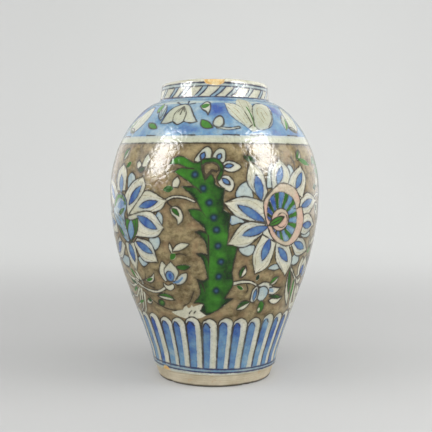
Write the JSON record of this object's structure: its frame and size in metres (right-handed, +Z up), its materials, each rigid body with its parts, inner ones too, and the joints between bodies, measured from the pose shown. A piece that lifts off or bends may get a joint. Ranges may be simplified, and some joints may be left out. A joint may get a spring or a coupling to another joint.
{
  "type": "glazed ceramic vase",
  "caption": "Wheel-thrown ceramic vase with a wide shoulder, short upright neck and narrow turned foot, painted with flowers and leaves under a clear glaze; holds water and stems.",
  "frame": {"origin": "centre of the flat resting face under the foot ring", "axes": "+Z up along the vase's axis, -Y towards the viewer of the picture"},
  "size_m": [0.2145, 0.2145, 0.3],
  "materials": {
    "bare_clay": "bare fired buff clay, turned, matt",
    "body_clay": "fired buff clay under slip and glaze",
    "luting_slip": "fired slip, matt",
    "painted_glaze": "painted white ground under clear crazed glaze, glossy",
    "lining_glaze": "clear glaze over white ground, glossy"
  },
  "bodies": {
    "root": {"foot_ring": "bare_clay", "lower_bowl": "body_clay", "upper_bowl": "body_clay", "neck_collar": "body_clay", "foot_lute": "luting_slip", "belly_lute": "luting_slip", "neck_lute": "luting_slip", "outer_glaze": "painted_glaze", "inner_glaze": "lining_glaze"}
  },
  "joints": []
}
